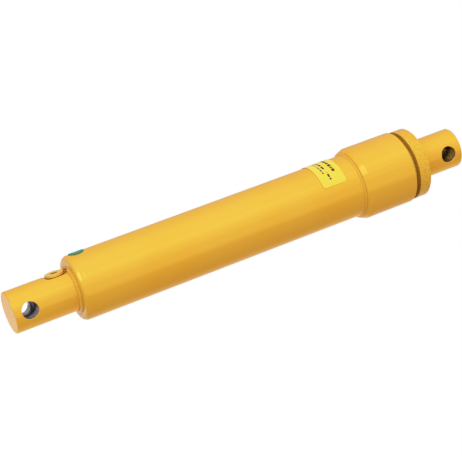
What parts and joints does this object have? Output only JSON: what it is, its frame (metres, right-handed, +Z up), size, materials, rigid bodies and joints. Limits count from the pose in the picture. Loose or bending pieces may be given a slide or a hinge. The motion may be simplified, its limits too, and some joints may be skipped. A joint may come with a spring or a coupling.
{
  "type": "hydraulic cylinder",
  "caption": "Single-acting hydraulic cylinder: welded barrel with cross-drilled base bar and side port, gland with packing nut, and a solid ram with a pin eye.",
  "frame": {"origin": "centre of the base pin eye, on the cylinder's axis", "axes": "+X along the cylinder's axis from the base eye to the ram eye, Y along the base pin, +Z up through the oil port"},
  "size_m": [0.4614, 0.0698, 0.0698],
  "materials": {
    "yellow_paint": "semi-gloss sprayed enamel with a fine orange peel",
    "ram_steel": "semi-gloss enamel on the exposed end, polished steel on the length that runs in the gland",
    "bare_steel": "turned",
    "spring_steel": "blackened",
    "bronze": "turned bearing bronze",
    "packing": "fabric-reinforced",
    "wiper": "satin urethane",
    "phenolic": "fabric-reinforced",
    "rubber": "matt",
    "yellow_label": "printed vinyl",
    "green_label": "paper sticker"
  },
  "bodies": {
    "barrel": {"base_stub": "yellow_paint", "base_cap": "yellow_paint", "base_weld": "yellow_paint", "cap_weld": "yellow_paint", "barrel_tube": "yellow_paint", "gland_housing": "yellow_paint", "gland_weld": "yellow_paint", "guide_bushing": "bronze", "packing_male_adaptor": "packing", "v_ring_1": "packing", "v_ring_2": "packing", "v_ring_3": "packing", "v_ring_4": "packing", "packing_female_adaptor": "packing", "barrel_label": "yellow_label", "inspection_dot": "green_label"},
    "slide_ring": {"wear_ring": "phenolic"},
    "ram": {"ram": "ram_steel", "stop_collar": "bare_steel", "snap_ring": "spring_steel"},
    "wiper": {"rod_wiper": "wiper"},
    "packing_nut": {"packing_nut": "yellow_paint"},
    "o_ring": {"plug_o_ring": "rubber"},
    "port_plug": {"port_plug": "yellow_paint"}
  },
  "joints": [
    {"name": "ram_stroke", "type": "slide", "parent": "barrel", "child": "slide_ring", "axis": [1, 0, 0], "range_m": [0, 0.254]},
    {"name": "ram_spin", "type": "hinge", "parent": "slide_ring", "child": "ram", "pos_m": [0.0745, 0, 0], "axis": [1, 0, 0], "continuous": true},
    {"name": "nut_travel", "type": "slide", "parent": "barrel", "child": "wiper", "axis": [1, 0, 0], "range_m": [0, 0.0148]},
    {"name": "nut_turn", "type": "hinge", "parent": "wiper", "child": "packing_nut", "pos_m": [0.395, 0, 0], "axis": [1, 0, 0], "range_deg": [0, 2520]},
    {"name": "plug_travel", "type": "slide", "parent": "barrel", "child": "o_ring", "axis": [0, 0, 1], "range_m": [0, 0.0098]},
    {"name": "plug_turn", "type": "hinge", "parent": "o_ring", "child": "port_plug", "pos_m": [0.0337, 0, 0.0175], "axis": [0, 0, 1], "range_deg": [0, 2520]}
  ],
  "couplings": [
    {"joint": "nut_turn", "follows": "nut_travel", "rad_per_m": 2968.4},
    {"joint": "plug_turn", "follows": "plug_travel", "rad_per_m": 4452.7}
  ]
}
